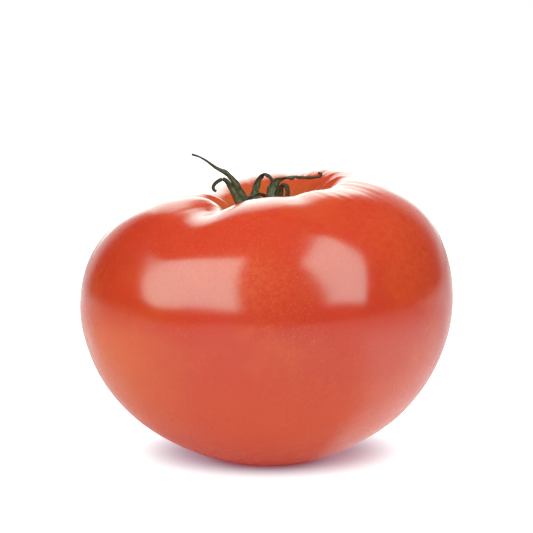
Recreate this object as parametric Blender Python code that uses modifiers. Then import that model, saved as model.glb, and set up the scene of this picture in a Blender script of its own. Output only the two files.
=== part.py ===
"""A ripe, lopsided tomato: the fruit, and the dried calyx standing in its stem cavity.

Metres, +Z up. The origin is the middle of the small flat spot that the fruit rests on, under its core.
Azimuths are in degrees from +X, the right, to +Y, the back, so that 270 is the front.
"""

import math

import bmesh
import bpy
from mathutils import Vector

MM = 0.001

# The fruit's meridians, each as its value at the right, back, left and front
REACH = (46.9 * MM, 44.0 * MM, 46.8 * MM, 44.5 * MM)
WAIST_HEIGHT = (40.2 * MM, 39.8 * MM, 38.8 * MM, 39.6 * MM)
CREST_RADIUS = (20.5 * MM, 20.0 * MM, 19.5 * MM, 17.5 * MM)
CREST_HEIGHT = (71.9 * MM, 70.0 * MM, 65.8 * MM, 68.6 * MM)

# The stem cavity, and the flat spot below
CAVITY_FLOOR = 59.0 * MM
FLOOR_RADIUS = 6.0 * MM
WALL_BIAS = (0.85, 0.40, 0.80, 0.85)
FLAT_RADIUS = 5.0 * MM

# How full the skin is above and below the waist, at the same four meridians: 2 would be an ellipse
UPPER_FULLNESS = (2.12, 2.08, 2.24, 2.12)
LOWER_FULLNESS = (2.06, 2.0, 2.0, 2.0)
BOTTOM_FULLNESS = 1.78

# The grooves between the lobes: azimuth, depth on the crest and half width in degrees.
# A depth below zero is a swelling.
GROOVES = (
    (8, 1.4 * MM, 13),
    (66, 1.0 * MM, 13),
    (128, 1.8 * MM, 14),
    (152, 0.7 * MM, 14),
    (176, 1.6 * MM, 12),
    (204, -1.7 * MM, 13),
    (232, 3.0 * MM, 12),
    (291, 1.2 * MM, 10),
    (331, 1.3 * MM, 20),
)
GROOVE_REACH = 0.5
LOW_GROOVE = 0.14

# The cage under the subdivided skin: segments round, and rings down each of the meridian's four parts
SEGMENTS = 36
RINGS = (7, 7, 8, 2)
SMALL_STEP = 0.01

# The calyx's middle, turned: (radius, height) in millimetres from the underside,
# up to the broken stem's knob
SEAT_GAP = 0.3 * MM
HUB_PROFILE = (
    (0.0, 0.0), (3.6, 0.0), (4.1, 0.7), (3.6, 1.5), (2.2, 2.1),
    (1.8, 2.8), (1.9, 3.6), (1.2, 4.0), (0.0, 3.8),
)
HUB_SIDES = 20

# The sepals: thin folded blades, narrow at the root and drawn out to a long tip
BLADE_THICKNESS = 0.7 * MM
ROOT_SHARE = 0.72
WIDEST_AT = 0.36
TAPER = 2.2
FOLD = 0.3
ACROSS = (-1.0, -0.5, 0.0, 0.5, 1.0)
STEPS_PER_SPAN = 3

# Each sepal: its full width, its tip's, the headings of its width at the root and the tip in degrees,
# and its midline in millimetres from the middle of the cavity's floor
SEPALS = {
    "tall_left": (
        2.4 * MM, 0.75 * MM, 150, 190,
        ((-1.6, -0.6, 1.2), (-4.2, -2.0, 4.2), (-5.7, -2.8, 6.5), (-6.7, -3.3, 8.6), (-7.6, -3.7, 10.5),
         (-8.7, -4.1, 12.3), (-10.1, -4.4, 13.6), (-12.0, -4.7, 14.6), (-14.6, -4.9, 16.5),
         (-16.5, -5.1, 17.6), (-18.2, -5.2, 18.2)),
    ),
    "hooked_left": (
        2.5 * MM, 0.8 * MM, 150, 200,
        ((-1.2, -1.4, 1.2), (-4.4, -3.4, 3.8), (-6.6, -4.6, 6.2), (-7.8, -5.2, 8.4), (-8.9, -5.6, 10.4),
         (-9.8, -5.9, 11.7), (-10.9, -6.2, 12.1), (-12.3, -6.5, 11.4), (-13.0, -6.7, 10.4),
         (-12.8, -6.8, 9.6), (-12.2, -6.9, 9.3)),
    ),
    "back_arch": (
        2.7 * MM, 1.0 * MM, 20, 60,
        ((-1.1, 1.3, 1.2), (-2.9, 2.9, 4.4), (-3.1, 3.6, 6.9), (-2.7, 4.0, 9.2), (-2.0, 4.2, 11.0),
         (-0.9, 4.4, 12.1), (0.3, 4.5, 12.0), (1.3, 4.5, 11.0), (1.8, 4.4, 9.6), (2.0, 4.3, 8.0)),
    ),
    "back_upright": (
        1.8 * MM, 0.8 * MM, 160, 150,
        ((1.2, 1.4, 1.2), (2.2, 2.6, 4.4), (2.5, 3.0, 7.8), (2.7, 3.3, 10.4)),
    ),
    "long_right": (
        2.7 * MM, 0.75 * MM, 15, 80,
        ((1.0, -0.8, 1.2), (1.0, -2.4, 4.6), (0.9, -3.0, 7.6), (1.1, -3.0, 9.6), (1.9, -2.6, 10.9),
         (3.3, -1.6, 11.6), (5.1, -0.4, 11.9), (7.3, 0.8, 11.9), (9.8, 2.2, 11.6), (11.7, 3.4, 11.5),
         (13.2, 4.2, 11.6), (13.6, 4.5, 12.2), (12.8, 4.6, 12.6)),
    ),
    "arch_right": (
        1.8 * MM, 1.2 * MM, 20, 40,
        ((1.8, -0.8, 1.2), (3.0, -2.0, 4.6), (3.2, -2.9, 8.0), (3.5, -3.5, 10.1), (4.2, -3.9, 10.8),
         (4.9, -4.3, 10.4), (5.3, -4.6, 9.2), (5.2, -4.8, 7.8)),
    ),
    "low_front": (
        2.6 * MM, 1.2 * MM, 125, 125,
        ((-0.4, -1.8, 1.2), (0.1, -3.8, 4.6), (-0.4, -5.0, 7.6), (-1.9, -6.2, 8.5), (-3.4, -7.2, 8.2),
         (-4.8, -8.0, 7.5), (-5.6, -8.4, 6.9)),
    ),
}

# Points closer than this are one, and edges sharper than this in degrees are shown sharp
WELD = 0.001 * MM
SHARP_ANGLE = 50

# Finishes: base colour, roughness
SKIN = ((0.78, 0.09, 0.035, 1.0), 0.28)
DRIED_GREEN = ((0.11, 0.15, 0.06, 1.0), 0.75)


def clear_scene():
    for old in list(bpy.data.objects):
        bpy.data.objects.remove(old)


def make_collection(name):
    made = bpy.data.collections.new(name)
    bpy.context.scene.collection.children.link(made)
    return made


def make_material(name, finish):
    colour, roughness = finish
    material = bpy.data.materials.new(name)
    material.use_nodes = True
    shader = material.node_tree.nodes["Principled BSDF"]
    shader.inputs["Base Color"].default_value = colour
    shader.inputs["Roughness"].default_value = roughness
    shader.inputs["Metallic"].default_value = 0.0
    return material


def add_object(name, bm, collection, material):
    bmesh.ops.recalc_face_normals(bm, faces=bm.faces)
    mesh = bpy.data.meshes.new(name)
    bm.to_mesh(mesh)
    bm.free()
    mesh.materials.append(material)
    made = bpy.data.objects.new(name, mesh)
    collection.objects.link(made)
    return made


def at_azimuth(quarters, azimuth):
    """The value at an azimuth, blended from its values at the right, back, left and front."""
    right, back, left, front = quarters
    return (
        (right + back + left + front) / 4
        + (right - left) / 2 * math.cos(azimuth)
        + (back - front) / 2 * math.sin(azimuth)
        + (right - back + left - front) / 4 * math.cos(2 * azimuth)
    )


def meridian(azimuth, station):
    """(radius, height) of the smooth fruit: station 0 is the cavity's middle, 1 the crest, 2 the waist,
    3 the flat spot's edge and 4 its middle."""
    reach = at_azimuth(REACH, azimuth)
    waist = at_azimuth(WAIST_HEIGHT, azimuth)
    crest_radius = at_azimuth(CREST_RADIUS, azimuth)
    crest_height = at_azimuth(CREST_HEIGHT, azimuth)
    if station <= 1:
        radius = crest_radius * station
        up_wall = max(0.0, (radius - FLOOR_RADIUS) / (crest_radius - FLOOR_RADIUS))
        rise = (1 - math.cos(math.pi * up_wall ** at_azimuth(WALL_BIAS, azimuth))) / 2
        return radius, CAVITY_FLOOR + (crest_height - CAVITY_FLOOR) * rise
    if station <= 2:
        turn = (station - 1) * math.pi / 2
        power = 2 / at_azimuth(UPPER_FULLNESS, azimuth)
        return (
            crest_radius + (reach - crest_radius) * math.sin(turn) ** power,
            waist + (crest_height - waist) * max(0.0, math.cos(turn)) ** power,
        )
    if station >= 3:
        return FLAT_RADIUS * (4 - station), 0.0
    turn = (station - 2) * math.pi / 2
    power = 2 / at_azimuth(LOWER_FULLNESS, azimuth)
    return (
        FLAT_RADIUS + (reach - FLAT_RADIUS) * max(0.0, math.cos(turn)) ** power,
        waist * (1 - math.sin(turn) ** (2 / BOTTOM_FULLNESS)),
    )


def groove_depth(azimuth, station):
    """How far the skin sinks between the lobes: most on the crest, and a little all the way down."""
    on_shoulder = math.exp(-(((station - 1) / GROOVE_REACH) ** 2))
    below = LOW_GROOVE * math.sin(math.pi * (station - 1) / 2) if 1 < station < 3 else 0.0
    sunk = 0.0
    for groove, depth, half_width in GROOVES:
        away = (math.degrees(azimuth) - groove + 180) % 360 - 180
        sunk += depth * math.exp(-((away / half_width) ** 2))
    return sunk * (on_shoulder + below)


def skin_point(azimuth, station):
    """A point of the ribbed skin: the smooth meridian, sunk along its normal."""
    radius, height = meridian(azimuth, station)
    if 0 < station < 3:
        before = meridian(azimuth, station - SMALL_STEP)
        after = meridian(azimuth, station + SMALL_STEP)
        out, up = before[1] - after[1], after[0] - before[0]
        sunk = groove_depth(azimuth, station) / math.hypot(out, up)
        radius, height = radius - out * sunk, height - up * sunk
    return Vector((radius * math.cos(azimuth), radius * math.sin(azimuth), height))


def station_of_ring(ring):
    for part, count in enumerate(RINGS):
        if ring <= count:
            return part + ring / count
        ring -= count
    return float(len(RINGS))


def make_fruit(collection):
    """A globe whose rings are moved onto the skin, then subdivided."""
    bm = bmesh.new()
    bmesh.ops.create_uvsphere(bm, u_segments=SEGMENTS, v_segments=sum(RINGS), radius=1.0)
    for vertex in bm.verts:
        ring = round(math.acos(max(-1.0, min(1.0, vertex.co.z))) / math.pi * sum(RINGS))
        azimuth = math.atan2(vertex.co.y, vertex.co.x)
        vertex.co = skin_point(azimuth, station_of_ring(ring))
    fruit = add_object("fruit", bm, collection, make_material("skin", SKIN))
    smooth = fruit.modifiers.new("smooth skin", "SUBSURF")
    smooth.levels = smooth.render_levels = 1
    fruit.data.shade_smooth()
    return fruit


def curve_through(points, steps):
    """A smooth curve through the points, as points: Catmull-Rom, with its ends carried on."""
    points = [Vector(p) for p in points]
    ends = [2 * points[0] - points[1], *points, 2 * points[-1] - points[-2]]
    made = []
    for a, b, c, d in zip(ends, ends[1:], ends[2:], ends[3:]):
        for step in range(steps):
            t = step / steps
            made.append(
                b + (c - a) * (t / 2) + (2 * a - 5 * b + 4 * c - d) * (t * t / 2)
                + (3 * b - a - 3 * c + d) * (t**3 / 2)
            )
    return [*made, points[-1]]


def blade_width(full_width, tip_width, along):
    """Narrow at the root, widest a third of the way out, then drawn out to a long tip."""
    if along < WIDEST_AT:
        return full_width * (ROOT_SHARE + (1 - ROOT_SHARE) * math.sin(along / WIDEST_AT * math.pi / 2))
    left = (1 - along) / (1 - WIDEST_AT)
    return tip_width + (full_width - tip_width) * left**TAPER


def blade_sections(midline, widths, root_heading, tip_heading):
    """Rings of points round the blade, each a folded strip of one thickness square to the midline."""
    lengths = [0.0]
    for a, b in zip(midline, midline[1:]):
        lengths.append(lengths[-1] + (b - a).length)
    rings = []
    for i, point in enumerate(midline):
        along = lengths[i] / lengths[-1]
        tangent = (midline[min(i + 1, len(midline) - 1)] - midline[max(i - 1, 0)]).normalized()
        heading = math.radians(root_heading + (tip_heading - root_heading) * along)
        side = Vector((math.cos(heading), math.sin(heading), 0.0))
        side = (side - tangent * side.dot(tangent)).normalized()
        face = side.cross(tangent).normalized()
        half = blade_width(*widths, along) / 2
        upper = [
            point + side * (u * half) + face * (FOLD * abs(u) * half + BLADE_THICKNESS / 2)
            for u in ACROSS
        ]
        lower = [corner - face * BLADE_THICKNESS for corner in reversed(upper)]
        rings.append(upper + lower)
    return rings


def make_sepal(name, collection, material):
    """A closed blade: its sections joined by faces, with both ends capped."""
    full_width, tip_width, root_heading, tip_heading, points = SEPALS[name]
    floor = Vector((0.0, 0.0, CAVITY_FLOOR))
    midline = [floor + p for p in curve_through([Vector(p) * MM for p in points], STEPS_PER_SPAN)]
    bm = bmesh.new()
    rings = [
        [bm.verts.new(corner) for corner in ring]
        for ring in blade_sections(midline, (full_width, tip_width), root_heading, tip_heading)
    ]
    around = len(rings[0])
    for near, far in zip(rings, rings[1:]):
        for i in range(around):
            j = (i + 1) % around
            bm.faces.new((near[i], near[j], far[j], far[i]))
    bm.faces.new(rings[0])
    bm.faces.new(rings[-1])
    bmesh.ops.triangulate(bm, faces=bm.faces)
    return add_object(name, bm, collection, material)


def make_hub(collection, material):
    """The calyx's middle: its profile turned about the upright axis."""
    foot = CAVITY_FLOOR + SEAT_GAP
    bm = bmesh.new()
    corners = [bm.verts.new((radius * MM, 0.0, foot + height * MM)) for radius, height in HUB_PROFILE]
    for low, high in zip(corners, corners[1:]):
        bm.edges.new((low, high))
    bmesh.ops.spin(
        bm, geom=bm.verts[:] + bm.edges[:], angle=2 * math.pi, steps=HUB_SIDES, axis=(0.0, 0.0, 1.0),
        cent=(0.0, 0.0, 0.0), use_merge=True
    )
    bmesh.ops.remove_doubles(bm, verts=bm.verts, dist=WELD)
    return add_object("calyx", bm, collection, material)


def make_calyx(collection):
    """The hub with the sepals joined to it, as one solid."""
    material = make_material("sepals", DRIED_GREEN)
    calyx = make_hub(collection, material)
    sepals = make_collection("sepals to join")
    for name in SEPALS:
        make_sepal(name, sepals, material)
    join = calyx.modifiers.new("join sepals", "BOOLEAN")
    join.operation = "UNION"
    join.operand_type = "COLLECTION"
    join.collection = sepals
    join.solver = "MANIFOLD"
    graph = bpy.context.evaluated_depsgraph_get()
    joined = bpy.data.meshes.new_from_object(calyx.evaluated_get(graph))
    calyx.modifiers.clear()
    calyx.data = joined
    for sepal in list(sepals.objects):
        bpy.data.objects.remove(sepal)
    bpy.data.collections.remove(sepals)
    calyx.data.shade_smooth()
    calyx.data.set_sharp_from_angle(angle=math.radians(SHARP_ANGLE))
    return calyx


def main():
    clear_scene()
    tomato = make_collection("tomato")
    make_fruit(tomato)
    make_calyx(tomato)


main()
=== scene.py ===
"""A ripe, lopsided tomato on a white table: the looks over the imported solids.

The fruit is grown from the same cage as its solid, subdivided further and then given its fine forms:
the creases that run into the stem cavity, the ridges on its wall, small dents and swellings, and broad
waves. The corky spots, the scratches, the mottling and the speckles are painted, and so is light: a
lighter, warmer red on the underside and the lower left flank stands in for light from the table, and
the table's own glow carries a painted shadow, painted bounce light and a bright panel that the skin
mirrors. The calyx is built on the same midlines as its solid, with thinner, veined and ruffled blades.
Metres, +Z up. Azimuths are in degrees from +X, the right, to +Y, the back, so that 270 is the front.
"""

import math
import random

import bmesh
import bpy
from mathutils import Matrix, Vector, noise


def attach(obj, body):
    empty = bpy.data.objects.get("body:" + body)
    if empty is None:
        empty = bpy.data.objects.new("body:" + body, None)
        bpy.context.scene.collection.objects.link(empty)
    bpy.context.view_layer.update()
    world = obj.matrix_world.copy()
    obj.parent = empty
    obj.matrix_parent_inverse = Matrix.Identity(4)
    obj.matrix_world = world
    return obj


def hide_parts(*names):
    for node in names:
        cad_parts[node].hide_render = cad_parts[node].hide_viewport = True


MM = 0.001

# The fruit's meridians, each as its value at the right, back, left and front
REACH = (46.9 * MM, 44.0 * MM, 46.8 * MM, 44.5 * MM)
WAIST_HEIGHT = (40.2 * MM, 39.8 * MM, 38.8 * MM, 39.6 * MM)
CREST_RADIUS = (20.5 * MM, 20.0 * MM, 19.5 * MM, 17.5 * MM)
CREST_HEIGHT = (71.9 * MM, 70.0 * MM, 65.8 * MM, 68.6 * MM)

# The stem cavity, whose wall rises sooner where its bias is lower, and the flat spot below
CAVITY_FLOOR = 59.0 * MM
FLOOR_RADIUS = 6.0 * MM
WALL_BIAS = (0.85, 0.40, 0.80, 0.85)
FLAT_RADIUS = 5.0 * MM

# How full the skin is above and below the waist, at the same four meridians: 2 would be an ellipse
UPPER_FULLNESS = (2.12, 2.08, 2.24, 2.12)
LOWER_FULLNESS = (2.06, 2.0, 2.0, 2.0)
BOTTOM_FULLNESS = 1.78

# The grooves between the lobes: azimuth, depth on the crest and half width in degrees.
# A depth below zero is a swelling.
GROOVES = (
    (8, 1.4 * MM, 13),
    (66, 1.0 * MM, 13),
    (128, 1.8 * MM, 14),
    (152, 0.7 * MM, 14),
    (176, 1.6 * MM, 12),
    (204, -1.7 * MM, 13),
    (232, 3.0 * MM, 12),
    (291, 1.2 * MM, 10),
    (331, 1.3 * MM, 20),
)
GROOVE_REACH = 0.5
LOW_GROOVE = 0.14

# The cage under the subdivided skin: segments round, and rings down each of the meridian's four parts
SEGMENTS = 36
RINGS = (7, 7, 8, 2)
SMALL_STEP = 0.01
SKIN_LEVELS = 3

# The creases that run down into the cavity: how many, how far each strays from its even place,
# their depth and half width in degrees, and how far out they run past the crest
CREASES = 46
CREASE_STRAY = 0.4
CREASE_DEPTH = (0.02 * MM, 0.15 * MM)
CREASE_WIDTH = (0.9, 2.4)
CREASE_RUN = (0.1, 0.9)
CREASE_SEED = 11

# The azimuth where they are deepest, and what is left of their depth on the other side
CREASED_SIDE = 40
SMOOTH_SIDE_SHARE = 0.3

# Where creases and ridges begin on the wall, in crest radii, how soon the creases fade in and out,
# and beyond what radius, below what height and at how many half widths aside there are none
CREASE_START = 0.25
CREASE_FADE_IN = 0.25
CREASE_FADE_OUT = 0.5
CREASE_LIMIT = 2.1
LOWEST_CREASE = CAVITY_FLOOR - 2 * MM
CREASE_CUT_OFF = 3
RIDGE_START = 0.3

# How far creases and ridges wander sideways in degrees, and how often in 1/m
WANDER = 2.5
WANDER_SCALE = 90

# Ridges on the cavity's wall: azimuth, height and half width in degrees
WALL_RIDGES = (
    (14, 0.45 * MM, 3.0),
    (24, 0.15 * MM, 2.4),
    (338, 0.3 * MM, 3.0),
    (150, 0.4 * MM, 3.2),
)

# Small forms on the skin: middle, radius and depth, which is below zero for a swelling
DENTS = (
    (Vector((-23.0, -20.0, 62.0)) * MM, 8.5 * MM, -1.2 * MM),
    (Vector((21.0, -25.0, 65.0)) * MM, 8.5 * MM, 0.9 * MM),
    (Vector((-44.0, -12.0, 31.0)) * MM, 6.0 * MM, 0.45 * MM),
    (Vector((20.0, -24.0, 8.0)) * MM, 8.0 * MM, 0.5 * MM),
    (Vector((23.0, -2.0, 3.0)) * MM, 13.0 * MM, 1.0 * MM),
    (Vector((-22.0, -2.0, 3.0)) * MM, 13.0 * MM, 1.0 * MM),
)

# Broad waves of the skin: length and height, and where in the noise they start
WAVES = ((11 * MM, 0.16 * MM), (24 * MM, 0.22 * MM))
WAVE_START = Vector((0.0, 3.0, 11.0))
WAVE_SHIFT = Vector((7.0, 0.0, 0.0))
CALM_BELOW = 12 * MM

# Painted cork: the ring round the stem and the blossom scar, each as its middle and where it fades,
# and the scratches, each as its middle, its turn in degrees and its half sizes
CORKY_SPOTS = (
    ((0.0, 0.0, CAVITY_FLOOR), 5.2 * MM, 6.6 * MM),
    ((0.0, 0.0, 0.0), 0.8 * MM, 2.0 * MM),
)
SCRATCHES = (
    ((-13.9 * MM, -14.2 * MM, 66.3 * MM), (0, 0, 62), (1.1 * MM, 0.28 * MM, 1.6 * MM)),
    ((30.0 * MM, 20.0 * MM, 58.0 * MM), (0, 40, 30), (0.3 * MM, 2.2 * MM, 0.9 * MM)),
)

# Colours of the skin and of what is on it, with the painted light on its underside and lower left flank
RED = (0.475, 0.036, 0.0125, 1.0)
DEEP_RED = (0.42, 0.027, 0.0105, 1.0)
ORANGE = (0.52, 0.072, 0.015, 1.0)
PAINTED_BOUNCE_BELOW = (0.60, 0.072, 0.010, 1.0)
ORANGE_AND_PAINTED_LIGHT_LEFT = (0.66, 0.122, 0.010, 1.0)
MOTTLED = (0.53, 0.085, 0.020, 1.0)
CAVITY_ORANGE = (0.46, 0.105, 0.020, 1.0)
SPECKLE = (0.68, 0.19, 0.03, 1.0)
FLECK = (0.70, 0.27, 0.09, 1.0)
CORK = (0.22, 0.12, 0.05, 1.0)

# The finishes of the skin, the sepals and the table, and the strength of the table's painted glow
SKIN_FINISH = {
    "Subsurface Weight": 0.25,
    "Subsurface Radius": (1.0, 0.25, 0.1),
    "Subsurface Scale": 2.0 * MM,
    "IOR": 1.45,
    "Specular IOR Level": 0.1,
    "Coat Weight": 0.4,
    "Coat Roughness": 0.15,
    "Coat IOR": 2.0,
}
SEPAL_FINISH = {"Specular IOR Level": 0.35}
TABLE_FINISH_AND_GLOW = {"Roughness": 0.9, "Specular IOR Level": 0.0, "Emission Strength": 1.0}

# Colours of the dried sepals
GREEN = (0.055, 0.085, 0.035, 1.0)
PALE_GREEN = (0.19, 0.23, 0.12, 1.0)
BROWN = (0.038, 0.024, 0.013, 1.0)
DARK_BLOTCH = (0.03, 0.028, 0.02, 1.0)

# Patches mottled with orange: middle, turn in degrees and half sizes
PALE_PATCHES = (
    ((32.0 * MM, -22.0 * MM, 55.0 * MM), (0, 0, 0), (14.0 * MM, 18.0 * MM, 15.0 * MM)),
    ((-2.0 * MM, -42.0 * MM, 52.0 * MM), (0, 0, 0), (12.0 * MM, 14.0 * MM, 10.0 * MM)),
)

# The deeper red of the upper left, in the same way
DEEP_PATCH = ((-34.0 * MM, -20.0 * MM, 58.0 * MM), (0, 0, 0), (16.0 * MM, 22.0 * MM, 10.0 * MM))

# The calyx's middle, turned: (radius, height) in millimetres from the underside,
# up to the broken stem's knob
SEAT_GAP = 0.3 * MM
HUB_PROFILE = (
    (0.0, 0.0), (3.6, 0.0), (4.1, 0.7), (3.6, 1.5), (2.2, 2.1),
    (1.8, 2.8), (1.9, 3.6), (1.2, 4.0), (0.0, 3.8),
)
HUB_SIDES = 40
HUB_UNEVENNESS = 0.06
HUB_UNEVEN_SCALE = 3

# The sepals: thin folded blades, narrow at the root and drawn out to a long tip
BLADE_THICKNESS = 0.5 * MM
ROOT_SHARE = 0.72
WIDEST_AT = 0.36
TAPER = 2.2
FOLD = 0.3
ACROSS = 9
STEPS_PER_SPAN = 8

# The blades' fine forms: the ruffle with its frequency along in 1/m and across, the veins with their
# places and widths as shares of the half width, and how much thinner the edges are
EDGE_RUFFLE = 0.35 * MM
RUFFLE_ALONG = 700
RUFFLE_ACROSS = 1.4
VEIN_RELIEF = 0.09 * MM
MIDRIB_WIDTH = 0.16
SIDE_VEIN_AT = 0.5
SIDE_VEIN_WIDTH = 0.14
SIDE_VEIN_SHARE = 0.5
EDGE_THINNING = 0.45

# Each sepal: its full width, its tip's, the headings of its width at the root and the tip in degrees,
# and its midline in millimetres from the middle of the cavity's floor
SEPALS = {
    "tall_left": (
        2.4 * MM, 0.45 * MM, 150, 190,
        ((-1.6, -0.6, 1.2), (-4.2, -2.0, 4.2), (-5.7, -2.8, 6.5), (-6.7, -3.3, 8.6), (-7.6, -3.7, 10.5),
         (-8.7, -4.1, 12.3), (-10.1, -4.4, 13.6), (-12.0, -4.7, 14.6), (-14.6, -4.9, 16.5),
         (-16.5, -5.1, 17.6), (-18.2, -5.2, 18.2)),
    ),
    "hooked_left": (
        2.5 * MM, 0.8 * MM, 150, 200,
        ((-1.2, -1.4, 1.2), (-4.4, -3.4, 3.8), (-6.6, -4.6, 6.2), (-7.8, -5.2, 8.4), (-8.9, -5.6, 10.4),
         (-9.8, -5.9, 11.7), (-10.9, -6.2, 12.1), (-12.3, -6.5, 11.4), (-13.0, -6.7, 10.4),
         (-12.8, -6.8, 9.6), (-12.2, -6.9, 9.3)),
    ),
    "back_arch": (
        2.7 * MM, 1.0 * MM, 20, 60,
        ((-1.1, 1.3, 1.2), (-2.9, 2.9, 4.4), (-3.1, 3.6, 6.9), (-2.7, 4.0, 9.2), (-2.0, 4.2, 11.0),
         (-0.9, 4.4, 12.1), (0.3, 4.5, 12.0), (1.3, 4.5, 11.0), (1.8, 4.4, 9.6), (2.0, 4.3, 8.0)),
    ),
    "back_upright": (
        1.8 * MM, 0.8 * MM, 160, 150,
        ((1.2, 1.4, 1.2), (2.2, 2.6, 4.4), (2.5, 3.0, 7.8), (2.7, 3.3, 10.4)),
    ),
    "long_right": (
        2.7 * MM, 0.75 * MM, 15, 80,
        ((1.0, -0.8, 1.2), (1.0, -2.4, 4.6), (0.9, -3.0, 7.6), (1.1, -3.0, 9.6), (1.9, -2.6, 10.9),
         (3.3, -1.6, 11.6), (5.1, -0.4, 11.9), (7.3, 0.8, 11.9), (9.8, 2.2, 11.6), (11.7, 3.4, 11.5),
         (13.2, 4.2, 11.6), (13.6, 4.5, 12.2), (12.8, 4.6, 12.6)),
    ),
    "arch_right": (
        1.8 * MM, 1.2 * MM, 20, 40,
        ((1.8, -0.8, 1.2), (3.0, -2.0, 4.6), (3.2, -2.9, 8.0), (3.5, -3.5, 10.1), (4.2, -3.9, 10.8),
         (4.9, -4.3, 10.4), (5.3, -4.6, 9.2), (5.2, -4.8, 7.8)),
    ),
    "low_front": (
        2.6 * MM, 1.2 * MM, 125, 125,
        ((-0.4, -1.8, 1.2), (0.1, -3.8, 4.6), (-0.4, -5.0, 7.6), (-1.9, -6.2, 8.5), (-3.4, -7.2, 8.2),
         (-4.8, -8.0, 7.5), (-5.6, -8.4, 6.9)),
    ),
}

# The camera, which stands in front of the fruit and a little above it
CAMERA_ELEVATION = 9.0
CAMERA_DISTANCE = 0.55
CAMERA_LENS = 150.0
CAMERA_AIM = Vector((0.0, 0.0, 48.7)) * MM
CAMERA_CLIP_START = 0.01

# Lights that fall on things: heading and elevation in degrees, distance, width, height and power
LIGHTS = {
    "left light": (228, 40, 0.90, 1.20, 1.00, 4.9),
    "right light": (315, 42, 0.90, 0.90, 0.90, 3.3),
    "front light": (268, 14, 1.00, 1.20, 0.90, 4.6),
    "top light": (90, 80, 1.00, 1.40, 1.20, 8.0),
}
LIGHT_AIM = Vector((0.0, 0.0, 45.0)) * MM

# Softboxes that the skin mirrors: heading, elevation, brightness, and the corners clockwise,
# as slopes to the side and up from that direction
SOFTBOXES = (
    (221, 30, 5.6, ((-0.61, 0.38), (0.26, 0.57), (0.70, -0.39), (-0.49, -0.38))),
    (318, 36, 5.4, ((0.36, 0.90), (0.19, -0.59), (-0.26, -0.42), (-0.22, 0.28))),
    (
        88, 28, 2.05,
        ((-0.27, -0.65), (-0.27, -0.20), (0.05, 0.37), (0.15, 0.42), (0.40, 0.28), (0.30, -0.65)),
    ),
    (88, 28, 0.85, ((-0.52, -0.65), (-0.36, -0.30), (-0.20, 0.15), (0.40, 0.20), (0.46, -0.65))),
)
SOFTBOX_EDGE = 0.05
MIRRORED_COLOUR = (0.5, 1.0, 0.92, 1.0)

# The room: how bright it is to what it lights. In reflections it is dim in front and bright behind:
# where that begins and ends, as the direction's Y, and both brightnesses.
AMBIENT = 0.35
BACKDROP = (0.66, 0.88, 0.03, 1.0)

# The table, near the fruit and far from it: darker far away, a painted dimness that the skin mirrors and
# is lit by
TABLE_SIZE = 3.0
TABLE = (0.66, 0.60, 0.62, 1.0)
DIMMED_FAR_TABLE = (0.30, 0.30, 0.30, 1.0)

# What the camera sees of it: the shadow right under the fruit and round it, and where the shadow lies
CONTACT_SHADE = (0.09, 0.0, 0.02, 1.0)
SOFT_SHADE = (0.15, 0.12, 0.18, 1.0)
SHADE_MIDDLE = (1.0 * MM, 10.0 * MM, 0.0)
SHADE_SIZE = (39.0 * MM, 34.0 * MM, 36.0 * MM)
NEAR_WHITE = (0.85, 1.0, 1.0, 1.0)
WHITE = (1.0, 1.0, 1.0, 1.0)

# What the skin gets from it, all painted light: the fruit's red bounced close by, and a bright panel on
# the right with the bearings between which it rises and falls away
BOUNCED_RED = (0.20, 0.0, 0.0, 1.0)
BLACK = (0.0, 0.0, 0.0, 1.0)
PANEL_COLOUR = (0.75, 1.0, 1.0, 1.0)
PANEL_RISE = (math.radians(-52), math.radians(-28))
PANEL_FALL = (math.radians(-15), math.radians(65))
PANEL_BRIGHTNESS = 0.62
OTHER_SIDES = 0.13


def at_azimuth(quarters, azimuth):
    """The value at an azimuth, blended from its values at the right, back, left and front."""
    right, back, left, front = quarters
    return (
        (right + back + left + front) / 4
        + (right - left) / 2 * math.cos(azimuth)
        + (back - front) / 2 * math.sin(azimuth)
        + (right - back + left - front) / 4 * math.cos(2 * azimuth)
    )


def turned_away(azimuth, middle):
    """How many degrees the azimuth is from the middle, from -180 to 180."""
    return (azimuth - middle + 180) % 360 - 180


def meridian(azimuth, station):
    """(radius, height) of the smooth fruit: station 0 is the cavity's middle, 1 the crest, 2 the waist,
    3 the flat spot's edge and 4 its middle."""
    reach = at_azimuth(REACH, azimuth)
    waist = at_azimuth(WAIST_HEIGHT, azimuth)
    crest_radius = at_azimuth(CREST_RADIUS, azimuth)
    crest_height = at_azimuth(CREST_HEIGHT, azimuth)
    if station <= 1:
        radius = crest_radius * station
        up_wall = max(0.0, (radius - FLOOR_RADIUS) / (crest_radius - FLOOR_RADIUS))
        rise = (1 - math.cos(math.pi * up_wall ** at_azimuth(WALL_BIAS, azimuth))) / 2
        return radius, CAVITY_FLOOR + (crest_height - CAVITY_FLOOR) * rise
    if station <= 2:
        turn = (station - 1) * math.pi / 2
        power = 2 / at_azimuth(UPPER_FULLNESS, azimuth)
        return (
            crest_radius + (reach - crest_radius) * math.sin(turn) ** power,
            waist + (crest_height - waist) * max(0.0, math.cos(turn)) ** power,
        )
    if station >= 3:
        return FLAT_RADIUS * (4 - station), 0.0
    turn = (station - 2) * math.pi / 2
    power = 2 / at_azimuth(LOWER_FULLNESS, azimuth)
    return (
        FLAT_RADIUS + (reach - FLAT_RADIUS) * max(0.0, math.cos(turn)) ** power,
        waist * (1 - math.sin(turn) ** (2 / BOTTOM_FULLNESS)),
    )


def groove_depth(azimuth, station):
    """How far the skin sinks between the lobes: most on the crest, and a little all the way down."""
    on_shoulder = math.exp(-(((station - 1) / GROOVE_REACH) ** 2))
    below = LOW_GROOVE * math.sin(math.pi * (station - 1) / 2) if 1 < station < 3 else 0.0
    sunk = 0.0
    for groove, depth, half_width in GROOVES:
        away = turned_away(math.degrees(azimuth), groove)
        sunk += depth * math.exp(-((away / half_width) ** 2))
    return sunk * (on_shoulder + below)


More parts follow.
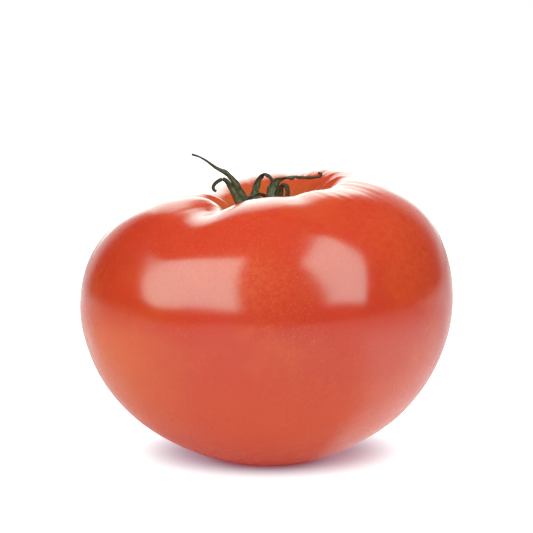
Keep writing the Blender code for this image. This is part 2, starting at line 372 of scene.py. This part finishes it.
def skin_point(azimuth, station):
    """A point of the ribbed skin: the smooth meridian, sunk along its normal."""
    radius, height = meridian(azimuth, station)
    if 0 < station < 3:
        before = meridian(azimuth, station - SMALL_STEP)
        after = meridian(azimuth, station + SMALL_STEP)
        out, up = before[1] - after[1], after[0] - before[0]
        sunk = groove_depth(azimuth, station) / math.hypot(out, up)
        radius, height = radius - out * sunk, height - up * sunk
    return Vector((radius * math.cos(azimuth), radius * math.sin(azimuth), height))


def station_of_ring(ring):
    for part, count in enumerate(RINGS):
        if ring <= count:
            return part + ring / count
        ring -= count
    return float(len(RINGS))


def add_object(name, bm, material):
    bmesh.ops.recalc_face_normals(bm, faces=bm.faces)
    mesh = bpy.data.meshes.new(name)
    bm.to_mesh(mesh)
    bm.free()
    mesh.materials.append(material)
    made = bpy.data.objects.new(name, mesh)
    bpy.context.scene.collection.objects.link(made)
    return made


def make_real(obj):
    """Replaces the object's mesh with its evaluated one, so that its vertices can be moved."""
    graph = bpy.context.evaluated_depsgraph_get()
    mesh = bpy.data.meshes.new_from_object(obj.evaluated_get(graph))
    obj.modifiers.clear()
    obj.data = mesh


def crease_set(draw):
    """(azimuth, depth, half width, how far it runs past the crest) for each crease."""
    found = []
    for i in range(CREASES):
        azimuth = (i + draw.uniform(-CREASE_STRAY, CREASE_STRAY)) * 360 / CREASES
        side = (1 + math.cos(math.radians(azimuth - CREASED_SIDE))) / 2
        share = SMOOTH_SIDE_SHARE + (1 - SMOOTH_SIDE_SHARE) * side
        depth = share * draw.uniform(*CREASE_DEPTH)
        found.append((azimuth, depth, draw.uniform(*CREASE_WIDTH), draw.uniform(*CREASE_RUN)))
    return found


def crease_relief(point, creases):
    """How far a point near the cavity moves in or out for the creases and the wall's ridges."""
    radius = math.hypot(point.x, point.y)
    azimuth = math.degrees(math.atan2(point.y, point.x))
    reach = radius / at_azimuth(CREST_RADIUS, math.radians(azimuth))
    if point.z < LOWEST_CREASE or not CREASE_START <= reach <= CREASE_LIMIT:
        return 0.0
    azimuth += WANDER * noise.noise(Vector((point.x, point.y, 0.0)) * WANDER_SCALE)
    rise = min(1.0, (reach - CREASE_START) / CREASE_FADE_IN)
    moved = 0.0
    for middle, depth, half_width, run in creases:
        away = turned_away(azimuth, middle)
        if abs(away) <= CREASE_CUT_OFF * half_width:
            fade = rise * max(0.0, min(1.0, (1.0 + run - reach) / CREASE_FADE_OUT))
            moved -= depth * fade * math.exp(-((away / half_width) ** 2))
    if reach < 1.0:
        up_wall = math.sin(math.pi * max(0.0, (reach - RIDGE_START) / (1 - RIDGE_START)))
        for middle, height, half_width in WALL_RIDGES:
            away = turned_away(azimuth, middle)
            moved += height * up_wall * math.exp(-((away / half_width) ** 2))
    return moved


def dent_relief(point):
    """How far a point moves in or out for the dents and swellings."""
    moved = 0.0
    for middle, size, depth in DENTS:
        moved -= depth * math.exp(-(((point - middle).length / size) ** 2))
    return moved


def wave_relief(point):
    """Broad unevenness of the skin, which bends the reflections a little."""
    moved = 0.0
    for i, (size, height) in enumerate(WAVES):
        moved += height * noise.noise(point / size + WAVE_START + i * WAVE_SHIFT)
    return moved * min(1.0, max(0.0, point.z / CALM_BELOW))


def make_fruit(material):
    """The same cage as the solid's, subdivided further, with the fine forms pushed along its normals."""
    bm = bmesh.new()
    bmesh.ops.create_uvsphere(bm, u_segments=SEGMENTS, v_segments=sum(RINGS), radius=1.0)
    for vertex in bm.verts:
        ring = round(math.acos(max(-1.0, min(1.0, vertex.co.z))) / math.pi * sum(RINGS))
        azimuth = math.atan2(vertex.co.y, vertex.co.x)
        vertex.co = skin_point(azimuth, station_of_ring(ring))
    fruit = add_object("tomato_skin", bm, material)
    smooth = fruit.modifiers.new("smooth skin", "SUBSURF")
    smooth.levels = smooth.render_levels = SKIN_LEVELS
    make_real(fruit)
    creases = crease_set(random.Random(CREASE_SEED))
    mesh = fruit.data
    normals = [vertex.normal.copy() for vertex in mesh.vertices]
    for vertex, normal in zip(mesh.vertices, normals):
        point = vertex.co.copy()
        moved = crease_relief(point, creases) + dent_relief(point) + wave_relief(point)
        vertex.co = point + normal * moved
        vertex.co.z = max(0.0, vertex.co.z)
    mesh.shade_smooth()
    return fruit


def curve_through(points, steps):
    """A smooth curve through the points, as points: Catmull-Rom, with its ends carried on."""
    ends = [2 * points[0] - points[1], *points, 2 * points[-1] - points[-2]]
    made = []
    for a, b, c, d in zip(ends, ends[1:], ends[2:], ends[3:]):
        for step in range(steps):
            t = step / steps
            made.append(
                b + (c - a) * (t / 2) + (2 * a - 5 * b + 4 * c - d) * (t * t / 2)
                + (3 * b - a - 3 * c + d) * (t**3 / 2)
            )
    return [*made, points[-1]]


def blade_width(full_width, tip_width, along):
    """Narrow at the root, widest a third of the way out, then drawn out to a long tip."""
    if along < WIDEST_AT:
        return full_width * (ROOT_SHARE + (1 - ROOT_SHARE) * math.sin(along / WIDEST_AT * math.pi / 2))
    left = (1 - along) / (1 - WIDEST_AT)
    return tip_width + (full_width - tip_width) * left**TAPER


def blade_sections(midline, widths, root_heading, tip_heading, seed):
    """Rings of points round the blade, and how far along and across each point is."""
    lengths = [0.0]
    for a, b in zip(midline, midline[1:]):
        lengths.append(lengths[-1] + (b - a).length)
    rings = []
    for i, point in enumerate(midline):
        along = lengths[i] / lengths[-1]
        tangent = (midline[min(i + 1, len(midline) - 1)] - midline[max(i - 1, 0)]).normalized()
        heading = math.radians(root_heading + (tip_heading - root_heading) * along)
        side = Vector((math.cos(heading), math.sin(heading), 0.0))
        side = (side - tangent * side.dot(tangent)).normalized()
        face = side.cross(tangent).normalized()
        half = blade_width(*widths, along) / 2
        upper, lower = [], []
        for j in range(ACROSS):
            u = 2 * j / (ACROSS - 1) - 1
            place = Vector((along, u, 0.0))
            frill = noise.noise(Vector((lengths[i] * RUFFLE_ALONG, u * RUFFLE_ACROSS, seed)))
            midrib = math.exp(-((u / MIDRIB_WIDTH) ** 2))
            side_vein = SIDE_VEIN_SHARE * math.exp(-(((abs(u) - SIDE_VEIN_AT) / SIDE_VEIN_WIDTH) ** 2))
            sunk = VEIN_RELIEF * (midrib + side_vein)
            thick = BLADE_THICKNESS * (1 - EDGE_THINNING * u * u) / 2
            raised = FOLD * abs(u) * half + EDGE_RUFFLE * u * u * frill
            middle = point + side * (u * half) + face * raised
            upper.append((middle + face * (thick - sunk), place))
            lower.append((middle - face * (thick + sunk), place))
        rings.append(upper + lower[::-1])
    return rings


def add_sepal(bm, layer, name, seed):
    """A closed blade: its sections joined by faces, with both ends capped."""
    full_width, tip_width, root_heading, tip_heading, points = SEPALS[name]
    floor = Vector((0.0, 0.0, CAVITY_FLOOR))
    midline = [floor + p for p in curve_through([Vector(p) * MM for p in points], STEPS_PER_SPAN)]
    rings = []
    for ring in blade_sections(midline, (full_width, tip_width), root_heading, tip_heading, seed):
        made = []
        for corner, place in ring:
            vertex = bm.verts.new(corner)
            vertex[layer] = place
            made.append(vertex)
        rings.append(made)
    around = len(rings[0])
    for near, far in zip(rings, rings[1:]):
        for i in range(around):
            j = (i + 1) % around
            bm.faces.new((near[i], near[j], far[j], far[i]))
    bm.faces.new(rings[0])
    bm.faces.new(rings[-1])


def make_calyx(material):
    """The turned middle and the sepals, whose place along and across is kept for the material."""
    foot = CAVITY_FLOOR + SEAT_GAP
    bm = bmesh.new()
    layer = bm.verts.layers.float_vector.new("blade_place")
    rings = []
    for radius, height in HUB_PROFILE[1:-1]:
        turned = []
        for i in range(HUB_SIDES):
            turn = 2 * math.pi * i / HUB_SIDES
            x, y = math.cos(turn), math.sin(turn)
            where = Vector((HUB_UNEVEN_SCALE * x, HUB_UNEVEN_SCALE * y, height))
            out = radius * MM * (1 + HUB_UNEVENNESS * noise.noise(where))
            turned.append(bm.verts.new((out * x, out * y, foot + height * MM)))
        rings.append(turned)
    for low, high in zip(rings, rings[1:]):
        for i in range(HUB_SIDES):
            j = (i + 1) % HUB_SIDES
            bm.faces.new((low[i], low[j], high[j], high[i]))
    bm.faces.new(rings[0])
    bm.faces.new(rings[-1])
    for seed, name in enumerate(SEPALS):
        add_sepal(bm, layer, name, seed)
    calyx = add_object("calyx_sepals", bm, material)
    calyx.data.shade_smooth()
    return calyx


class Nodes:
    """A short way to build the node tree of a material or the world."""

    def __init__(self, owner, coordinates="Object"):
        owner.use_nodes = True
        self.tree = owner.node_tree
        self.shader = self.tree.nodes.get("Principled BSDF")
        self.place = self.add("ShaderNodeTexCoord").outputs[coordinates]

    def add(self, kind, **settings):
        node = self.tree.nodes.new(kind)
        for key, value in settings.items():
            setattr(node, key, value)
        return node

    def link(self, source, target):
        self.tree.links.new(source, target)

    def set_values(self, settings):
        """Sets the shader's own constant values."""
        for key, value in settings.items():
            self.shader.inputs[key].default_value = value

    def bump(self, scale, detail, distance, strength):
        """Roughens the shader's surface with a fine noise."""
        node = self.add("ShaderNodeBump")
        node.inputs["Distance"].default_value = distance
        node.inputs["Strength"].default_value = strength
        self.link(self.noise(scale, detail), node.inputs["Height"])
        self.link(node.outputs["Normal"], self.shader.inputs["Normal"])

    def noise(self, scale, detail=4.0, roughness=0.55):
        node = self.add("ShaderNodeTexNoise")
        node.inputs["Scale"].default_value = scale
        node.inputs["Detail"].default_value = detail
        node.inputs["Roughness"].default_value = roughness
        self.link(self.place, node.inputs["Vector"])
        return node.outputs["Fac"]

    def distance_from(self, middle):
        node = self.add("ShaderNodeVectorMath", operation="DISTANCE")
        self.link(self.place, node.inputs[0])
        node.inputs[1].default_value = middle
        return node.outputs["Value"]

    def split(self, vector):
        """The vector's X, Y and Z outputs."""
        node = self.add("ShaderNodeSeparateXYZ")
        self.link(vector, node.inputs["Vector"])
        return node.outputs["X"], node.outputs["Y"], node.outputs["Z"]

    def stretched(self, middle, turn, size):
        """The distance from a middle in a turned and stretched frame: 1 on the ellipsoid of that size."""
        node = self.add("ShaderNodeMapping", vector_type="TEXTURE")
        self.link(self.place, node.inputs["Vector"])
        node.inputs["Location"].default_value = middle
        node.inputs["Rotation"].default_value = [math.radians(angle) for angle in turn]
        node.inputs["Scale"].default_value = size
        length = self.add("ShaderNodeVectorMath", operation="LENGTH")
        self.link(node.outputs["Vector"], length.inputs[0])
        return length.outputs["Value"]

    def dots(self, scale):
        """The distance from scattered dots, of which there are that many to the metre."""
        node = self.add("ShaderNodeTexVoronoi")
        node.inputs["Scale"].default_value = scale
        self.link(self.place, node.inputs["Vector"])
        return node.outputs["Distance"]

    def spread(self, value, low, high, to_low=0.0, to_high=1.0):
        """The value from low to high, mapped smoothly to to_low to to_high and held outside."""
        node = self.add("ShaderNodeMapRange", interpolation_type="SMOOTHSTEP")
        self.link(value, node.inputs["Value"])
        for key, number in zip(("From Min", "From Max", "To Min", "To Max"), (low, high, to_low, to_high)):
            node.inputs[key].default_value = number
        return node.outputs["Result"]

    def math(self, operation, *values):
        node = self.add("ShaderNodeMath", operation=operation)
        for socket, value in zip(node.inputs, values):
            if isinstance(value, (int, float)):
                socket.default_value = value
            else:
                self.link(value, socket)
        return node.outputs["Value"]

    def mix_values(self, factor, a, b):
        """The value a, or the number b where the factor is 1."""
        node = self.add("ShaderNodeMix")
        self.link(factor, node.inputs[0])
        self.link(a, node.inputs[2])
        node.inputs[3].default_value = b
        return node.outputs[0]

    def mix(self, factor, a, b):
        """The colour a, or b where the factor is 1."""
        node = self.add("ShaderNodeMix", data_type="RGBA")
        for index, value in ((0, factor), (6, a), (7, b)):
            if isinstance(value, (int, float, tuple)):
                node.inputs[index].default_value = value
            else:
                self.link(value, node.inputs[index])
        return node.outputs[2]


def ripe_colour_and_painted_bounce(n):
    """Red, deeper and oranger in clouds. Towards the underside and on the lower left flank it is lighter
    and warmer: painted light from the table, over some of the skin's own orange on the left.
    """
    across, _, height = n.split(n.place)
    deep_here = n.spread(n.noise(22, 3.0), 0.35, 0.68)
    colour = n.mix(deep_here, RED, DEEP_RED)
    clouds = n.spread(n.noise(46, 5.0, 0.62), 0.45, 0.72, 0.0, 0.7)
    colour = n.mix(clouds, colour, ORANGE)
    # Painted light: a lighter, warmer red low down, for the light that the table throws up
    low_down = n.spread(height, 10.0 * MM, 48.0 * MM, 0.75, 0.0)
    colour = n.mix(low_down, colour, PAINTED_BOUNCE_BELOW)
    # Partly the skin's own orange, partly painted light from the table, on the lower left flank
    to_left = n.spread(across, -44.0 * MM, -16.0 * MM, 0.8, 0.0)
    below_shoulder = n.spread(height, 32.0 * MM, 46.0 * MM, 1.0, 0.1)
    return n.mix(n.math("MULTIPLY", to_left, below_shoulder), colour, ORANGE_AND_PAINTED_LIGHT_LEFT)


def patched(n, colour):
    """The colour with its mottled patches, the deep one and the orange round the stem."""
    mottling = n.spread(n.noise(900, 4.0, 0.7), 0.30, 0.70)
    for patch in PALE_PATCHES:
        inside = n.spread(n.stretched(*patch), 0.2, 1.2, 0.7, 0.0)
        colour = n.mix(n.math("MULTIPLY", inside, mottling), colour, MOTTLED)
    upper_left = n.spread(n.stretched(*DEEP_PATCH), 0.4, 1.2, 0.75, 0.0)
    colour = n.mix(upper_left, colour, DEEP_RED)
    from_stem = n.distance_from((0.0, 0.0, CAVITY_FLOOR + 4 * MM))
    return n.mix(n.spread(from_stem, 8.0 * MM, 20.0 * MM, 0.85, 0.0), colour, CAVITY_ORANGE)


def speckled(n, colour):
    """The colour with fine yellowish speckles, and with a few larger flecks."""
    fine = n.spread(n.noise(2400, 3.0, 0.6), 0.50, 0.74, 0.0, 0.35)
    where = n.spread(n.noise(34, 3.0), 0.42, 0.62, 0.25, 1.0)
    colour = n.mix(n.math("MULTIPLY", fine, where), colour, SPECKLE)
    flecks = n.spread(n.dots(620), 0.05, 0.15, 0.12, 0.0)
    few = n.spread(n.noise(90, 2.0), 0.50, 0.64)
    return n.mix(n.math("MULTIPLY", flecks, few), colour, FLECK)


def marked(n, colour):
    """The colour with the corky spots and the scratches, both with ragged edges."""
    ragged = n.spread(n.noise(700, 4.0), 0.2, 0.8, -1.2 * MM, 1.2 * MM)
    for middle, inner, outer in CORKY_SPOTS:
        away = n.math("ADD", n.distance_from(middle), ragged)
        colour = n.mix(n.spread(away, inner, outer, 0.9, 0.0), colour, CORK)
    frayed = n.spread(n.noise(1500, 3.0), 0.2, 0.8, -0.4, 0.4)
    for scratch in SCRATCHES:
        away = n.math("ADD", n.stretched(*scratch), frayed)
        colour = n.mix(n.spread(away, 0.6, 1.2, 0.75, 0.0), colour, CORK)
    return colour


def skin_material():
    """A thin glossy coat over skin that lets the light in a little."""
    material = bpy.data.materials.new("tomato skin")
    n = Nodes(material)
    n.set_values(SKIN_FINISH)
    colour = marked(n, speckled(n, patched(n, ripe_colour_and_painted_bounce(n))))
    n.link(colour, n.shader.inputs["Base Color"])
    n.link(n.spread(n.noise(150, 3.0), 0.3, 0.7, 0.24, 0.34), n.shader.inputs["Roughness"])
    n.bump(900, 2.0, 0.02 * MM, 0.15)
    return material


def sepal_material():
    """Green and pale green, browner towards the edges and the tip, with dark blotches."""
    material = bpy.data.materials.new("dried sepals")
    n = Nodes(material)
    n.set_values(SEPAL_FINISH)
    place = n.add("ShaderNodeAttribute", attribute_name="blade_place")
    along, across, _ = n.split(place.outputs["Vector"])
    colour = n.mix(n.spread(n.noise(900, 4.0), 0.35, 0.65), GREEN, PALE_GREEN)
    uneven = n.spread(n.noise(700, 3.0), 0.2, 0.8, -0.25, 0.25)
    near_edge = n.math("ADD", n.math("ABSOLUTE", across), uneven)
    colour = n.mix(n.spread(near_edge, 0.55, 1.0, 0.0, 0.95), colour, BROWN)
    near_tip = n.math("ADD", along, n.spread(n.noise(400, 3.0), 0.2, 0.8, -0.1, 0.1))
    colour = n.mix(n.spread(near_tip, 0.35, 0.80, 0.0, 0.9), colour, BROWN)
    blotch = n.spread(n.noise(500, 4.0), 0.58, 0.72, 0.0, 0.8)
    colour = n.mix(blotch, colour, DARK_BLOTCH)
    n.link(colour, n.shader.inputs["Base Color"])
    n.link(n.spread(n.noise(800, 3.0), 0.3, 0.7, 0.55, 0.85), n.shader.inputs["Roughness"])
    n.bump(1600, 4.0, 0.12 * MM, 0.7)
    return material


def table_as_seen(n, away):
    """The glow of the table to the camera: white, with the fruit's soft shadow."""
    shade = n.mix(n.spread(away, 8.0 * MM, 17.0 * MM), CONTACT_SHADE, SOFT_SHADE)
    lit = n.mix(n.spread(away, 60.0 * MM, 120.0 * MM), NEAR_WHITE, WHITE)
    from_shade = n.stretched(SHADE_MIDDLE, (0, 0, 0), SHADE_SIZE)
    return n.mix(n.spread(from_shade, 0.45, 1.12), shade, lit)


def table_as_mirrored(n, away):
    """The glow of the table to the skin: red close by, and bright on the right and far behind."""
    across, back, _ = n.split(n.place)
    bearing = n.math("ARCTAN2", back, across)
    rising = n.spread(bearing, *PANEL_RISE)
    falling = n.spread(bearing, *PANEL_FALL, PANEL_BRIGHTNESS, 0.0)
    panel = n.math("MULTIPLY_ADD", rising, falling, OTHER_SIDES)
    clear_of_fruit = n.spread(away, 8.0 * MM, 32.0 * MM)
    near = n.math("MULTIPLY", clear_of_fruit, n.spread(away, 100.0 * MM, 350.0 * MM, 1.0, 0.0))
    from_behind = n.spread(back, 50.0 * MM, 300.0 * MM, 0.0, 0.5)
    bright = n.math("MULTIPLY_ADD", panel, near, from_behind)
    bounced = n.mix(n.spread(away, 15.0 * MM, 70.0 * MM), BOUNCED_RED, BLACK)
    return n.mix(bright, bounced, PANEL_COLOUR)


def table_material():
    """White and matt. Its glow to the camera isn't the one that the fruit mirrors and is lit by."""
    material = bpy.data.materials.new("white table")
    n = Nodes(material)
    n.set_values(TABLE_FINISH_AND_GLOW)
    away = n.distance_from((0.0, 0.0, 0.0))
    base = n.mix(n.spread(away, 120.0 * MM, 1200.0 * MM), TABLE, DIMMED_FAR_TABLE)
    n.link(base, n.shader.inputs["Base Color"])
    rays = n.add("ShaderNodeLightPath")
    glow = n.mix(rays.outputs["Is Camera Ray"], table_as_mirrored(n, away), table_as_seen(n, away))
    n.link(glow, n.shader.inputs["Emission Color"])
    return material


def make_floor():
    """The white table, which is the floor of the scene."""
    bpy.ops.mesh.primitive_plane_add(size=TABLE_SIZE, location=(0.0, 0.0, 0.0))
    floor = bpy.context.object
    floor.name = "white table"
    floor.data.materials.append(table_material())


def direction(heading, elevation):
    """The unit vector that points to that heading and elevation."""
    h, e = math.radians(heading), math.radians(elevation)
    return Vector((math.cos(e) * math.cos(h), math.cos(e) * math.sin(h), math.sin(e)))


def make_lights():
    for name, (heading, elevation, distance, width, height, power) in LIGHTS.items():
        data = bpy.data.lights.new(name, "AREA")
        data.shape = "RECTANGLE"
        data.size, data.size_y = width, height
        data.energy = power
        light = bpy.data.objects.new(name, data)
        bpy.context.scene.collection.objects.link(light)
        towards = direction(heading, elevation)
        light.location = LIGHT_AIM + towards * distance
        light.rotation_euler = (-towards).to_track_quat("-Z", "Y").to_euler()
        light.visible_glossy = False


def softbox(n, heading, elevation, corners):
    """1 in the directions inside the softbox's outline, and 0 outside it."""
    towards = direction(heading, elevation)
    turned = n.add("ShaderNodeVectorRotate", rotation_type="EULER_XYZ", invert=True)
    turned.inputs["Rotation"].default_value = towards.to_track_quat("Z", "Y").to_euler()
    n.link(n.place, turned.inputs["Vector"])
    aside, up, ahead = n.split(turned.outputs["Vector"])
    slopes = n.add("ShaderNodeCombineXYZ")
    n.link(n.math("DIVIDE", aside, ahead), slopes.inputs["X"])
    n.link(n.math("DIVIDE", up, ahead), slopes.inputs["Y"])
    slopes.inputs["Z"].default_value = 1.0
    inside = n.math("GREATER_THAN", ahead, 0.0)
    for (x, y), (next_x, next_y) in zip(corners, corners[1:] + corners[:1]):
        length = math.hypot(next_x - x, next_y - y)
        across = ((next_y - y) / length, (x - next_x) / length)
        from_side = n.add("ShaderNodeVectorMath", operation="DOT_PRODUCT")
        from_side.inputs[1].default_value = (*across, -across[0] * x - across[1] * y)
        n.link(slopes.outputs["Vector"], from_side.inputs[0])
        within = n.spread(from_side.outputs["Value"], -SOFTBOX_EDGE, SOFTBOX_EDGE)
        inside = n.math("MULTIPLY", inside, within)
    return inside


def make_world():
    """White to the eye and even to what it lights. Reflections show softboxes in a dim room."""
    world = bpy.data.worlds.new("studio")
    bpy.context.scene.world = world
    n = Nodes(world, "Generated")
    _, towards_back, _ = n.split(n.place)
    strength = n.spread(towards_back, *BACKDROP)
    rays = n.add("ShaderNodeLightPath")
    for ray, level in (("Is Diffuse Ray", AMBIENT), ("Is Camera Ray", 1.0)):
        strength = n.mix_values(rays.outputs[ray], strength, level)
    room = n.tree.nodes["Background"]
    room.inputs["Color"].default_value = WHITE
    n.link(strength, room.inputs["Strength"])
    lit = 0.0
    for heading, elevation, brightness, corners in SOFTBOXES:
        lit = n.math("MULTIPLY_ADD", softbox(n, heading, elevation, corners), brightness, lit)
    boxes = n.add("ShaderNodeBackground")
    boxes.inputs["Color"].default_value = MIRRORED_COLOUR
    n.link(n.math("MULTIPLY", lit, rays.outputs["Is Glossy Ray"]), boxes.inputs["Strength"])
    both = n.add("ShaderNodeAddShader")
    n.link(room.outputs["Background"], both.inputs[0])
    n.link(boxes.outputs["Background"], both.inputs[1])
    n.link(both.outputs["Shader"], n.tree.nodes["World Output"].inputs["Surface"])


def make_camera():
    data = bpy.data.cameras.new("camera")
    camera = bpy.data.objects.new("camera", data)
    bpy.context.scene.collection.objects.link(camera)
    data.lens = CAMERA_LENS
    data.clip_start = CAMERA_CLIP_START
    back = direction(270, CAMERA_ELEVATION)
    camera.location = CAMERA_AIM + back * CAMERA_DISTANCE
    camera.rotation_euler = (-back).to_track_quat("-Z", "Y").to_euler()
    bpy.context.scene.camera = camera


def main():
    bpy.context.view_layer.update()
    fruit = make_fruit(skin_material())
    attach(fruit, "root")
    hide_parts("fruit")
    calyx = make_calyx(sepal_material())
    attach(calyx, "root")
    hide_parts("calyx")
    make_floor()
    make_lights()
    make_world()
    make_camera()
    bpy.context.scene.view_settings.view_transform = "Standard"


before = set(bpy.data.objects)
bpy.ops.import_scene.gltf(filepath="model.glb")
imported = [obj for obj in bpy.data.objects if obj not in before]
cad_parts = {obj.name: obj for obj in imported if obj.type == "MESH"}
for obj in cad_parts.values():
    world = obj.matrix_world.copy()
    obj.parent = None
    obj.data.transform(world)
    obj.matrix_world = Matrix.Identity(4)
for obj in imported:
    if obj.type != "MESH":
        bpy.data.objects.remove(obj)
main()
